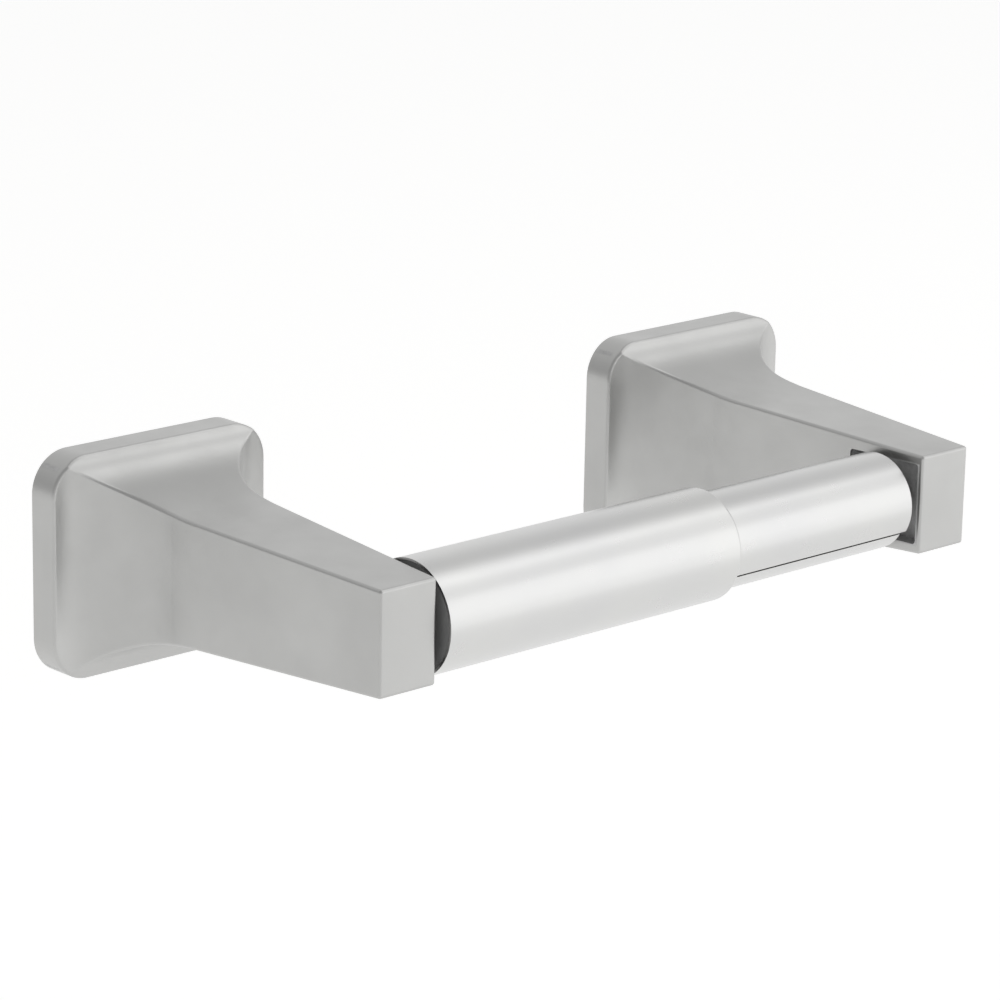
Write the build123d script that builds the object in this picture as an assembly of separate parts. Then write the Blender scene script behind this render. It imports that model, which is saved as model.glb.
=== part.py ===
from build123d import *
import math
import os

# Wall-mounted toilet paper holder: two posts with square, concave bases and a
# spring-loaded two-piece roller between them. Millimetres.
# +Z up, +X along the wall, -Y out into the room.
# Origin: on the wall plane, midway between the posts, level with the roller.

# Posts
POST_PITCH = 155.3          # between the two posts' centre planes
BASE_W, BASE_H = 55.0, 47.4
BASE_CORNER_R = 8.5
RIM = 7.1                   # straight side wall of the base, standing on the wall
SIDE_COVE_END, TOP_COVE_END = 25.0, 32.0    # the hollow curves run into the arm here
COVE_FULLNESS = 0.5523      # quarter-ellipse-like curve
ARM_W, ARM_H = 23.0, 27.2   # arm section, ARM_AT out from the wall
ARM_AT = 25.0
FRONT_W, FRONT_H = 14.4, 22.0
PROJECTION = 83.9
EDGE_R = 0.7                # rim edge, ridges and arm edges

# Hollow back of a post
SHELL = 2.4
RECESS_DEPTH = 5.2
CORE_W, CORE_H, CORE_END = 13.0, 17.0, 52.0
HOOK_Z, HOOK_W, HOOK_T = 15.9, 24.0, 1.5    # ledge that hangs on the wall plate
BOSS_Z, BOSS_W = 17.6, 9.0                  # thread boss of the set screw

# Pocket in an arm's inner face, and the socket in its floor for the roller's tip
ROLLER_Y = 74.05            # roller's axis, out from the wall
POCKET_BACK, POCKET_FRONT = 64.0, 82.65
POCKET_H = 18.0
POCKET_R = 0.8
POCKET_FLOOR = 3.9          # from the post's centre plane
SOCKET_R, SOCKET_DEPTH = 2.6, 3.4

# Wall plates
PLATE_W, PLATE_H, PLATE_T, PLATE_R = 36.0, 29.0, 1.6, 4.0
HUB_W, HUB_T = 22.0, 4.6
HUB_NECK_H, HUB_H = 30.0, 33.6              # dovetail: wider at its front
SCREW_PITCH = 20.0
SCREW_HOLE_R, SCREW_HEAD_R, SCREW_SINK = 2.4, 4.2, 1.8

# Set screws
SET_R, SET_CLEARANCE = 2.0, 0.05
SET_Y = 3.5
SET_TIP_Z, SET_END_Z = -16.85, -22.9
HEX_AF, HEX_DEPTH = 2.0, 2.4

# Roller
OUTER_R, OUTER_BORE_R = 12.1, 10.58
INNER_R, INNER_BORE_R = 10.5, 9.3
OUTER_LEFT, OUTER_RIGHT = -68.55, 12.7
INNER_LEFT, INNER_RIGHT = -22.0, 67.05
LIP_R = 0.9                 # rounded mouth of the outer tube
INNER_END_R = 0.4
SEAM_ANGLE = 31.0           # rolled tube's seam, below straight ahead
SEAM_W = 0.45
NOTCH_ANGLE, NOTCH_L = 36.0, 2.0    # strip below the seam, cut shorter than the rest
FLANGE_R, FLANGE_T = 11.6, 1.2
CAP_SINK = 0.3              # end plugs stand this far inside the tube ends
PLUG_L = 8.0
SHOULDER_R, SHOULDER_GAP, SHOULDER_CHAMFER = 5.5, 1.0, 0.8     # gap to the pocket's floor
TIP_R, TIP_CHAMFER = 2.55, 0.6
TIP_GAP = 0.3               # between a tip and its socket's end
SPRING_R, WIRE_R, SPRING_PITCH = 6.0, 0.5, 5.2
SPIGOT_R, SPIGOT_L = 5.2, 4.0


def box(x0, x1, y0, y1, z0, z1):
    """Box between two corners."""
    size = (x1 - x0, y1 - y0, z1 - z0)
    return Pos((x0 + x1) / 2, (y0 + y1) / 2, (z0 + z1) / 2) * Box(*size)


def rounded_block(width, height, radius, y0, y1):
    """Block with rounded corners in the XZ plane, from y0 to y1."""
    sketch = Plane.XZ * RectangleRounded(width, height, radius)
    return Pos(0, y1, 0) * extrude(sketch, amount=y1 - y0)


def rod(radius, x0, x1):
    """Cylinder along X on the roller's axis."""
    return Pos((x0 + x1) / 2, -ROLLER_Y, 0) * Rot(0, 90, 0) * Cylinder(radius, x1 - x0)


def flare_outline(base, root, front, cove_end):
    """Closed outline of a post, seen square-on: rim, cove, tapering arm."""
    b, f = base / 2, front / 2
    taper = (root / 2 - f) / (PROJECTION - ARM_AT)
    r = f + taper * (PROJECTION - cove_end)
    across, along = COVE_FULLNESS * (b - r), COVE_FULLNESS * (cove_end - RIM)
    side = Polyline((0, 0), (b, 0), (b, RIM))
    side += Bezier((b, RIM), (b - across, RIM), (r + taper * along, cove_end - along), (r, cove_end))
    side += Polyline((r, cove_end), (f, PROJECTION), (0, PROJECTION))
    return make_face(side + mirror(side, Plane.YZ))


def is_outer_edge(edge):
    """Rim edge, mitred ridges between the coves, and the arm's edges."""
    c = edge.center()
    on_rim = abs(c.Y + RIM) < 0.5
    on_front = c.Y < 0.1 - PROJECTION
    on_corner = c.Y < -RIM and abs(c.X) > FRONT_W / 2 and abs(c.Z) > FRONT_H / 2
    return on_rim or on_front or on_corner


def post_shell():
    """Outside of a post: plan and elevation outlines meet in mitred ridges."""
    above = Plane((0, 0, 0), x_dir=(1, 0, 0), z_dir=(0, 0, -1))
    beside = Plane((0, 0, 0), x_dir=(0, 0, 1), z_dir=(1, 0, 0))
    plan = flare_outline(BASE_W, ARM_W, FRONT_W, SIDE_COVE_END)
    elevation = flare_outline(BASE_H, ARM_H, FRONT_H, TOP_COVE_END)
    shell = extrude(above * plan, amount=BASE_H, both=True)
    shell &= extrude(beside * elevation, amount=BASE_W, both=True)
    shell &= rounded_block(BASE_W, BASE_H, BASE_CORNER_R, -PROJECTION - 1, 0)
    return fillet(shell.edges().filter_by(is_outer_edge), EDGE_R)


def back_recess():
    """Hollow behind the base, with the hook ledge and thread boss left standing."""
    width, height = BASE_W - 2 * SHELL, BASE_H - 2 * SHELL
    recess = rounded_block(width, height, BASE_CORNER_R - SHELL, -RECESS_DEPTH, 1)
    hook = box(-HOOK_W / 2, HOOK_W / 2, -HOOK_T, 1, HOOK_Z, BASE_H / 2)
    boss = box(-BOSS_W / 2, BOSS_W / 2, -RECESS_DEPTH, 1, -BASE_H / 2, -BOSS_Z)
    core = rounded_block(CORE_W, CORE_H, 3, -CORE_END, -RECESS_DEPTH)
    return recess - hook - boss + core


def post(x, inward):
    """One post at x; inward is +1 or -1, towards the other post."""
    body = post_shell() - back_recess()
    thread_l = 2 * (BASE_H / 2 - BOSS_Z) + 2
    body -= Pos(0, -SET_Y, -BASE_H / 2) * Cylinder(SET_R + SET_CLEARANCE, thread_l)
    deep = sorted((inward * POCKET_FLOOR, inward * (POCKET_FLOOR + BASE_W / 2)))
    pocket = box(*deep, -POCKET_FRONT, -POCKET_BACK, -POCKET_H / 2, POCKET_H / 2)
    pocket = fillet(pocket.edges().filter_by(Axis.X), POCKET_R)
    socket = sorted((inward * (POCKET_FLOOR - SOCKET_DEPTH), inward * (POCKET_FLOOR + 1)))
    return Pos(x, 0, 0) * (body - pocket - rod(SOCKET_R, *socket))


def wall_plate(x):
    """Screwed to the wall; the post hooks over its dovetail bar."""
    plate = rounded_block(PLATE_W, PLATE_H, PLATE_R, -PLATE_T, 0)
    neck, front = HUB_NECK_H / 2, HUB_H / 2
    side = Polyline((-neck, 0), (neck, 0), (front, HUB_T), (-front, HUB_T), close=True)
    side_plane = Plane((0, 0, 0), x_dir=(0, 0, 1), z_dir=(1, 0, 0))
    plate += extrude(side_plane * make_face(side), amount=HUB_W / 2, both=True)
    for z in (-SCREW_PITCH / 2, SCREW_PITCH / 2):
        plate -= Pos(0, -HUB_T / 2, z) * Rot(90, 0, 0) * Cylinder(SCREW_HOLE_R, HUB_T + 2)
        sink = Cone(SCREW_HOLE_R, SCREW_HEAD_R, SCREW_SINK)
        plate -= Pos(0, SCREW_SINK / 2 - HUB_T, z) * Rot(90, 0, 0) * sink
    return Pos(x, 0, 0) * plate


def set_screw(x):
    """Headless screw in the bottom rim, its point against the wall plate."""
    length = SET_TIP_Z - SET_END_Z
    body = Cylinder(SET_R, length)
    body = chamfer(body.edges(), 0.4)
    hexagon = extrude(RegularPolygon(HEX_AF / 2, 6, major_radius=False), amount=HEX_DEPTH)
    body -= Pos(0, 0, -length / 2) * hexagon
    return Pos(x, -SET_Y, (SET_TIP_Z + SET_END_Z) / 2) * body


def outer_tube():
    """Larger tube, held by the left end plug and open on the right."""
    tube = rod(OUTER_R, OUTER_LEFT, OUTER_RIGHT)
    tube = fillet(tube.edges().sort_by(Axis.X)[-1], LIP_R)
    tube -= rod(OUTER_BORE_R, OUTER_LEFT - 1, OUTER_RIGHT + 1)
    return tube - rod(FLANGE_R, OUTER_LEFT - 1, OUTER_LEFT + CAP_SINK + FLANGE_T)


def about_roller(angle, shape):
    """Turn a shape that points straight ahead down by an angle about the roller's axis."""
    axis = Axis((0, -ROLLER_Y, 0), (1, 0, 0))
    return shape.rotate(axis, angle)


def inner_tube():
    """Smaller tube, rolled from strip with a seam, sliding inside the larger one."""
    tube = rod(INNER_R, INNER_LEFT, INNER_RIGHT)
    tube = fillet(tube.edges().sort_by(Axis.X)[-1], INNER_END_R)
    tube -= rod(INNER_BORE_R, INNER_LEFT - 1, INNER_RIGHT + 1)
    ahead = -ROLLER_Y - INNER_R - 1, -ROLLER_Y - 8
    slit = box(OUTER_RIGHT - 6, INNER_RIGHT + 1, *ahead, -SEAM_W / 2, SEAM_W / 2)
    reach = INNER_R * math.radians(NOTCH_ANGLE)
    notch = box(INNER_RIGHT - NOTCH_L, INNER_RIGHT + 1, *ahead, -reach / 2, reach / 2)
    tube -= about_roller(SEAM_ANGLE, slit)
    return tube - about_roller(SEAM_ANGLE + NOTCH_ANGLE / 2, notch)


def end_plug(end, bore_r, flange_r):
    """Cap of one tube end, with the pointed tip that sits in the post's socket."""
    face = abs(end) - CAP_SINK
    plug = rod(bore_r, face - PLUG_L, face)
    if flange_r > bore_r:
        plug += rod(flange_r, face - FLANGE_T, face)
    plug += rod(SPIGOT_R, face - PLUG_L - SPIGOT_L, face - PLUG_L)
    shoulder = rod(SHOULDER_R, face, POST_PITCH / 2 - POCKET_FLOOR - SHOULDER_GAP)
    plug += chamfer(shoulder.edges().sort_by(Axis.X)[-1], SHOULDER_CHAMFER)
    tip = rod(TIP_R, face, POST_PITCH / 2 - POCKET_FLOOR + SOCKET_DEPTH - TIP_GAP)
    plug += chamfer(tip.edges().sort_by(Axis.X)[-1], TIP_CHAMFER)
    return mirror(plug, Plane.YZ) if end < 0 else plug


def spring(x0, x1):
    """Compression spring that pushes the two tubes apart."""
    height = x1 - x0 - 2 * WIRE_R
    turns = round(height / SPRING_PITCH)
    path = Helix(height / turns, height, SPRING_R)
    start = Plane(path @ 0, z_dir=path % 0)
    coil = sweep(start * Circle(WIRE_R), path=path, is_frenet=True)
    return Pos(x0 + WIRE_R, -ROLLER_Y, 0) * Rot(0, 90, 0) * coil


def all_parts():
    """Every piece in place, by name."""
    half = POST_PITCH / 2
    spring_left = OUTER_LEFT + CAP_SINK + PLUG_L
    spring_right = INNER_RIGHT - CAP_SINK - PLUG_L
    return {
        "left_post": post(-half, 1),
        "right_post": post(half, -1),
        "left_wall_plate": wall_plate(-half),
        "right_wall_plate": wall_plate(half),
        "left_set_screw": set_screw(-half),
        "right_set_screw": set_screw(half),
        "roller_outer_tube": outer_tube(),
        "roller_inner_tube": inner_tube(),
        "left_end_plug": end_plug(OUTER_LEFT, OUTER_BORE_R, FLANGE_R),
        "right_end_plug": end_plug(INNER_RIGHT, INNER_BORE_R, INNER_BORE_R),
        "roller_spring": spring(spring_left, spring_right),
    }


os.makedirs("parts", exist_ok=True)
for name, shape in all_parts().items():
    export_step(shape, f"parts/{name}.step")
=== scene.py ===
import math

import bmesh
import bpy
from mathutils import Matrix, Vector


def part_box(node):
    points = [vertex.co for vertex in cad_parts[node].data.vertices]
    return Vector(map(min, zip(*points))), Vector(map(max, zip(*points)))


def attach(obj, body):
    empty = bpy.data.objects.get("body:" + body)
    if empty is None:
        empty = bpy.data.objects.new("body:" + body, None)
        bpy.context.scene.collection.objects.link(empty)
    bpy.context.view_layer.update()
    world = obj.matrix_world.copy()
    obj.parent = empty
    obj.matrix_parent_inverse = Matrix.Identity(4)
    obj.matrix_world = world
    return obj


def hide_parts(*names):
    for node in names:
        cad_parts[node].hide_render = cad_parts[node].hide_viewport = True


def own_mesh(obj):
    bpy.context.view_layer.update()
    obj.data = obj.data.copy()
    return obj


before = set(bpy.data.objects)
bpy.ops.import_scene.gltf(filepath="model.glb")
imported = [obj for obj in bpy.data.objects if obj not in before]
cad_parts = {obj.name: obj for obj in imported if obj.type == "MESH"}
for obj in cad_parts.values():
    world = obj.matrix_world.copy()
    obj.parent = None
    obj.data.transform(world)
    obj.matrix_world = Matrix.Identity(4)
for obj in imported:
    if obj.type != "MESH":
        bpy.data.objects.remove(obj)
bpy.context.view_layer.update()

# ---------------------------------------------------------------- sizes in metres, angles in degrees
CAMERA_AT = (-0.57980, -0.64724, 0.24263)
CAMERA_TURN = (74.129, -1.100, -42.700)
LENS_MM, SENSOR_MM = 147.85, 36.0
CAMERA_REACH = 50.0

POCKET_REACH = 0.0036, 0.0080           # from the post's centre plane, towards the roller
POCKET_Y = -0.0830, -0.0636
POCKET_HALF_H = 0.0091
RECESS_INSET = 0.0022                   # from the base's outline
RECESS_Y = -0.0054, -0.0003
CORE_HALF_W, CORE_HALF_H = 0.0068, 0.0088
CORE_Y = -0.0530, -0.0050

ROLLER_Y = -0.07405
COIL_R, WIRE_R = 0.006, 0.0005
SPRING_TURNS, COIL_STEPS, WIRE_SIDES = 24, 36, 10
CLOSED_PITCH = 0.24                     # share of the open coils' pitch

FLOOR_Z, FLOOR_HALF = -0.30, 8.0
FLOOR_GLOW = 0.32
SKY = 0.47
SKY_LOBES = [                           # direction, sharpness, strength
    ((0.66, -0.74, 0.10), 2.5, 0.62),
    ((0.66, -0.31, 0.69), 12.0, 0.35),
    ((0.66, 0.70, 0.27), 4.0, 0.47),
    ((-0.26, 0.70, 0.66), 6.0, 0.25),
]
LIGHTS = {                              # position, target, size, power in watts
    "key": ((0.9, -0.6, 2.2), (0.2, 0, 0), (1.8, 1.8), 5),
    "front": ((0.75, -1.05, 0.0), (0, 0, 0), (2.2, 1.3), 3.0),
}


# ---------------------------------------------------------------- camera
def make_camera():
    """Long lens, to the left of the holder and above it."""
    data = bpy.data.cameras.new("camera")
    data.sensor_width = SENSOR_MM
    data.lens = LENS_MM
    data.clip_end = CAMERA_REACH
    cam = bpy.data.objects.new("camera", data)
    bpy.context.scene.collection.objects.link(cam)
    cam.location = CAMERA_AT
    cam.rotation_euler = [math.radians(turn) for turn in CAMERA_TURN]
    bpy.context.scene.camera = cam


# ---------------------------------------------------------------- node helpers
def new_material(name):
    """Material with one Principled shader; gives the material, its tree and the shader."""
    mat = bpy.data.materials.new(name)
    mat.use_nodes = True
    tree = mat.node_tree
    tree.nodes.clear()
    out = tree.nodes.new("ShaderNodeOutputMaterial")
    bsdf = tree.nodes.new("ShaderNodeBsdfPrincipled")
    tree.links.new(bsdf.outputs[0], out.inputs[0])
    return mat, tree, bsdf


def coords(tree, scale=(1, 1, 1)):
    """Object coordinates, stretched by scale."""
    geo = tree.nodes.new("ShaderNodeTexCoord")
    mapping = tree.nodes.new("ShaderNodeMapping")
    mapping.inputs["Scale"].default_value = scale
    tree.links.new(geo.outputs["Object"], mapping.inputs[0])
    return mapping.outputs[0]


def noise(tree, vector, scale, detail=3.0, rough=0.5):
    """Noise value, 0 to 1."""
    n = tree.nodes.new("ShaderNodeTexNoise")
    n.inputs["Scale"].default_value = scale
    n.inputs["Detail"].default_value = detail
    n.inputs["Roughness"].default_value = rough
    tree.links.new(vector, n.inputs["Vector"])
    return n.outputs["Fac"]


def remap(tree, value, lo, hi, a=0.3, b=0.7):
    """Value from a to b, turned into lo to hi."""
    m = tree.nodes.new("ShaderNodeMapRange")
    for k, v in (("From Min", a), ("From Max", b), ("To Min", lo), ("To Max", hi)):
        m.inputs[k].default_value = v
    tree.links.new(value, m.inputs[0])
    return m.outputs[0]


def ramp(tree, value, low, high):
    """Colour between low and high."""
    r = tree.nodes.new("ShaderNodeValToRGB")
    r.color_ramp.elements[0].color = (*low, 1)
    r.color_ramp.elements[1].color = (*high, 1)
    tree.links.new(value, r.inputs[0])
    return r.outputs[0]


def bump(tree, bsdf, height, strength, distance):
    """Height into the shader as fine relief."""
    b = tree.nodes.new("ShaderNodeBump")
    b.inputs["Strength"].default_value = strength
    b.inputs["Distance"].default_value = distance
    tree.links.new(height, b.inputs["Height"])
    tree.links.new(b.outputs[0], bsdf.inputs["Normal"])


def metal(name, low, high, rough, grain, scale, strength=0.15, metallic=1.0):
    """Metal with cloudy tone, smudged roughness and a fine grain."""
    mat, tree, bsdf = new_material(name)
    bsdf.inputs["Metallic"].default_value = metallic
    cloud = noise(tree, coords(tree), 45, 3)
    tree.links.new(ramp(tree, remap(tree, cloud, 0, 1), low, high), bsdf.inputs["Base Color"])
    smudge = noise(tree, coords(tree), 140, 4, 0.6)
    tree.links.new(remap(tree, smudge, *rough), bsdf.inputs["Roughness"])
    bump(tree, bsdf, noise(tree, coords(tree, grain), scale, 2), strength, 0.00002)
    return mat


def plastic(name, low, high, rough):
    """Moulded plastic with a faint texture."""
    mat, tree, bsdf = new_material(name)
    cloud = noise(tree, coords(tree), 90, 3)
    tree.links.new(ramp(tree, remap(tree, cloud, 0, 1), low, high), bsdf.inputs["Base Color"])
    tree.links.new(remap(tree, noise(tree, coords(tree), 300, 3), *rough), bsdf.inputs["Roughness"])
    bump(tree, bsdf, noise(tree, coords(tree), 1600, 2), 0.2, 0.00004)
    return mat


def paint(node, mat):
    """One material on a CAD node."""
    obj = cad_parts[node]
    obj.data.materials.clear()
    obj.data.materials.append(mat)


def region(tree, lo, hi, soft=0.0002):
    """1 inside a box in the holder's frame, 0 outside."""
    coord = tree.nodes.new("ShaderNodeTexCoord")
    split = tree.nodes.new("ShaderNodeSeparateXYZ")
    tree.links.new(coord.outputs["Object"], split.inputs[0])
    level = None
    for axis in range(3):
        for edge, sign in ((lo[axis], 1), (hi[axis], -1)):
            m = tree.nodes.new("ShaderNodeMapRange")
            m.inputs["From Min"].default_value = edge - sign * soft
            m.inputs["From Max"].default_value = edge + sign * soft
            tree.links.new(split.outputs[axis], m.inputs[0])
            if level is None:
                level = m.outputs[0]
                continue
            both = tree.nodes.new("ShaderNodeMath")
            both.operation = "MINIMUM"
            tree.links.new(level, both.inputs[0])
            tree.links.new(m.outputs[0], both.inputs[1])
            level = both.outputs[0]
    return level


def either(tree, a, b):
    """The larger of two masks."""
    m = tree.nodes.new("ShaderNodeMath")
    m.operation = "MAXIMUM"
    tree.links.new(a, m.inputs[0])
    tree.links.new(b, m.inputs[1])
    return m.outputs[0]


def blend_value(tree, fac, a, b):
    """a where fac is 0, b where it is 1. Each is a number or a socket."""
    m = tree.nodes.new("ShaderNodeMix")
    tree.links.new(fac, m.inputs[0])
    for socket, v in ((m.inputs[2], a), (m.inputs[3], b)):
        if isinstance(v, (int, float)):
            socket.default_value = v
        else:
            tree.links.new(v, socket)
    return m.outputs[0]


def blend_color(tree, fac, a, b):
    """Colour a where fac is 0, colour b where it is 1."""
    m = tree.nodes.new("ShaderNodeMix")
    m.data_type = "RGBA"
    tree.links.new(fac, m.inputs[0])
    tree.links.new(a, m.inputs[6])
    tree.links.new(b, m.inputs[7])
    return m.outputs[2]


def post_material(side):
    """Satin plating outside; the pocket and the hollow back are left as cast, with the pocket's tone
    lightened as painted light against its shade.
    """
    mat, tree, bsdf = new_material(side + "_post_plating")
    lo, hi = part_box(side + "_post")
    mid = (lo.x + hi.x) / 2
    inward = 1 if side == "left" else -1
    near, far = sorted(mid + inward * reach for reach in POCKET_REACH)
    pocket = region(tree, (near, POCKET_Y[0], -POCKET_HALF_H), (far, POCKET_Y[1], POCKET_HALF_H))
    recess = region(
        tree,
        (lo.x + RECESS_INSET, RECESS_Y[0], lo.z + RECESS_INSET),
        (hi.x - RECESS_INSET, RECESS_Y[1], hi.z - RECESS_INSET),
    )
    core = region(
        tree,
        (mid - CORE_HALF_W, CORE_Y[0], -CORE_HALF_H),
        (mid + CORE_HALF_W, CORE_Y[1], CORE_HALF_H),
    )
    cast = either(tree, pocket, either(tree, recess, core))
    vec = coords(tree)
    cloud = remap(tree, noise(tree, vec, 38, 3), 0, 1)
    plated = ramp(tree, cloud, (0.475, 0.475, 0.468), (0.510, 0.510, 0.502))
    mottle = remap(tree, noise(tree, vec, 900, 4, 0.6), 0, 1)
    pitted = ramp(tree, mottle, (0.42,) * 3, (0.54,) * 3)
    # Pocket: rough as-cast finish, its colour lightened beyond the metal's own as painted light
    # filling the recess's shade.
    pocket_cast_painted_light = ramp(tree, mottle, (0.55,) * 3, (0.68,) * 3)
    rough_cast_and_pocket_light = blend_color(tree, pocket, pitted, pocket_cast_painted_light)
    tree.links.new(blend_color(tree, cast, plated, rough_cast_and_pocket_light), bsdf.inputs["Base Color"])
    tree.links.new(blend_value(tree, cast, 1.0, 0.2), bsdf.inputs["Metallic"])
    smudge = remap(tree, noise(tree, vec, 120, 5, 0.62), 0.32, 0.40)
    tree.links.new(blend_value(tree, cast, smudge, 0.62), bsdf.inputs["Roughness"])
    grain = noise(tree, coords(tree, (1, 1, 6)), 1400, 2)
    pits = noise(tree, vec, 1500, 4, 0.7)
    bump(tree, bsdf, blend_value(tree, cast, grain, pits), 0.12, 0.00003)
    return mat


def build_materials():
    """Finish of every piece."""
    tube = metal(
        "bright_chrome", (0.622,) * 3, (0.647, 0.647, 0.637), (0.27, 0.30), (0.05, 1, 1), 300, 0.015
    )
    zinc = metal("zinc_plate", (0.42,) * 3, (0.52, 0.52, 0.53), (0.38, 0.50), (1, 1, 1), 700, 0.4)
    steel = metal("screw_steel", (0.20,) * 3, (0.28,) * 3, (0.35, 0.45), (1, 1, 1), 1500, 0.3)
    wire = metal("spring_wire", (0.42,) * 3, (0.50,) * 3, (0.28, 0.38), (1, 1, 1), 1500, 0.3)
    dark = plastic("dark_plastic", (0.20,) * 3, (0.25,) * 3, (0.45, 0.55))
    for side in ("left", "right"):
        paint(side + "_post", post_material(side))
        paint(side + "_wall_plate", zinc)
        paint(side + "_set_screw", steel)
        paint(side + "_end_plug", dark)
    paint("roller_outer_tube", tube)
    paint("roller_inner_tube", tube)
    make_spring(wire)


# ---------------------------------------------------------------- spring
def coil_points(x0, x1):
    """Centre line of the spring: closed coils at both ends, even pitch between."""
    steps = SPRING_TURNS * COIL_STEPS
    rise = []
    for i in range(steps):
        from_end = min(i, steps - 1 - i) / COIL_STEPS
        rise.append(CLOSED_PITCH if from_end < 1 else 1.0)
    scale = (x1 - x0) / sum(rise)
    x, points = x0, []
    for i in range(steps + 1):
        angle = 2 * math.pi * i / COIL_STEPS
        points.append(Vector((x, ROLLER_Y + COIL_R * math.cos(angle), COIL_R * math.sin(angle))))
        if i < steps:
            x += rise[i] * scale
    return points


def make_spring(wire):
    """Compression spring as a coiled wire mesh that rides with the outer tube."""
    lo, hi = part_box("roller_spring")
    points = coil_points(lo.x + WIRE_R, hi.x - WIRE_R)
    bm = bmesh.new()
    rings = []
    for i, p in enumerate(points):
        along = (points[min(i + 1, len(points) - 1)] - points[max(i - 1, 0)]).normalized()
        out = Vector((0, p.y - ROLLER_Y, p.z)).normalized()
        side = along.cross(out).normalized()
        ring = []
        for k in range(WIRE_SIDES):
            turn = 2 * math.pi * k / WIRE_SIDES
            ring.append(bm.verts.new(p + WIRE_R * (math.cos(turn) * out + math.sin(turn) * side)))
        rings.append(ring)
    for a, b in zip(rings, rings[1:]):
        for k in range(WIRE_SIDES):
            n = (k + 1) % WIRE_SIDES
            bm.faces.new((a[k], a[n], b[n], b[k])).smooth = True
    bm.faces.new(rings[0])
    bm.faces.new(list(reversed(rings[-1])))
    bmesh.ops.recalc_face_normals(bm, faces=bm.faces)
    mesh = bpy.data.meshes.new("roller_spring_coil")
    bm.to_mesh(mesh)
    bm.free()
    mesh.materials.append(wire)
    coil = bpy.data.objects.new("roller_spring_coil", mesh)
    bpy.context.scene.collection.objects.link(coil)
    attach(coil, "roller_outer")
    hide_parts("roller_spring")
    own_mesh(coil)


# ---------------------------------------------------------------- stage
def make_floor():
    """Plain pale floor well below the holder, which hangs in the air as on its wall."""
    mesh = bpy.data.meshes.new("floor")
    turns = ((-1, -1), (1, -1), (1, 1), (-1, 1))
    corners = [(x * FLOOR_HALF, y * FLOOR_HALF, FLOOR_Z) for x, y in turns]
    mesh.from_pydata(corners, [], [(0, 1, 2, 3)])
    floor = bpy.data.objects.new("floor", mesh)
    bpy.context.scene.collection.objects.link(floor)
    mat, _, bsdf = new_material("floor")
    bsdf.inputs["Base Color"].default_value = (0.92, 0.92, 0.915, 1)
    bsdf.inputs["Roughness"].default_value = 1.0
    bsdf.inputs["Emission Color"].default_value = (1, 1, 1, 1)
    bsdf.inputs["Emission Strength"].default_value = FLOOR_GLOW
    mesh.materials.append(mat)


def softbox(name, pos, target, size, power):
    """Rectangular lamp that the camera does not see."""
    data = bpy.data.lights.new(name, "AREA")
    data.shape = "RECTANGLE"
    data.size, data.size_y = size
    data.energy = power
    lamp = bpy.data.objects.new(name, data)
    lamp.location = pos
    lamp.rotation_euler = (Vector(target) - Vector(pos)).to_track_quat("-Z", "Y").to_euler()
    bpy.context.scene.collection.objects.link(lamp)
    lamp.visible_camera = False


def sky_lobe(tree, direction, power):
    """1 towards a direction, fading smoothly to 0 away from it."""
    coord = tree.nodes.new("ShaderNodeTexCoord")
    dot = tree.nodes.new("ShaderNodeVectorMath")
    dot.operation = "DOT_PRODUCT"
    dot.inputs[1].default_value = Vector(direction).normalized()
    tree.links.new(coord.outputs["Generated"], dot.inputs[0])
    top = tree.nodes.new("ShaderNodeMath")
    top.operation = "MAXIMUM"
    tree.links.new(dot.outputs["Value"], top.inputs[0])
    top.inputs[1].default_value = 0.0
    power_node = tree.nodes.new("ShaderNodeMath")
    power_node.operation = "POWER"
    tree.links.new(top.outputs[0], power_node.inputs[0])
    power_node.inputs[1].default_value = power
    return power_node.outputs[0]


def make_sky():
    """Soft studio surround, brightest on the right and up behind the wall plane."""
    world = bpy.data.worlds.new("studio")
    bpy.context.scene.world = world
    world.use_nodes = True
    tree = world.node_tree
    level = None
    for direction, power, strength in SKY_LOBES:
        scaled = tree.nodes.new("ShaderNodeMath")
        scaled.operation = "MULTIPLY_ADD"
        tree.links.new(sky_lobe(tree, direction, power), scaled.inputs[0])
        scaled.inputs[1].default_value = strength
        scaled.inputs[2].default_value = SKY
        if level is not None:
            tree.links.new(level, scaled.inputs[2])
        level = scaled.outputs[0]
    backdrop = tree.nodes["Background"]
    backdrop.inputs[0].default_value = (1, 1, 1, 1)
    tree.links.new(level, backdrop.inputs[1])


def make_lights():
    """Sky and lamps, with plain colour handling."""
    make_sky()
    bpy.context.scene.view_settings.view_transform = "Standard"
    for name, spec in LIGHTS.items():
        softbox(name, *spec)


make_camera()
build_materials()
make_floor()
make_lights()
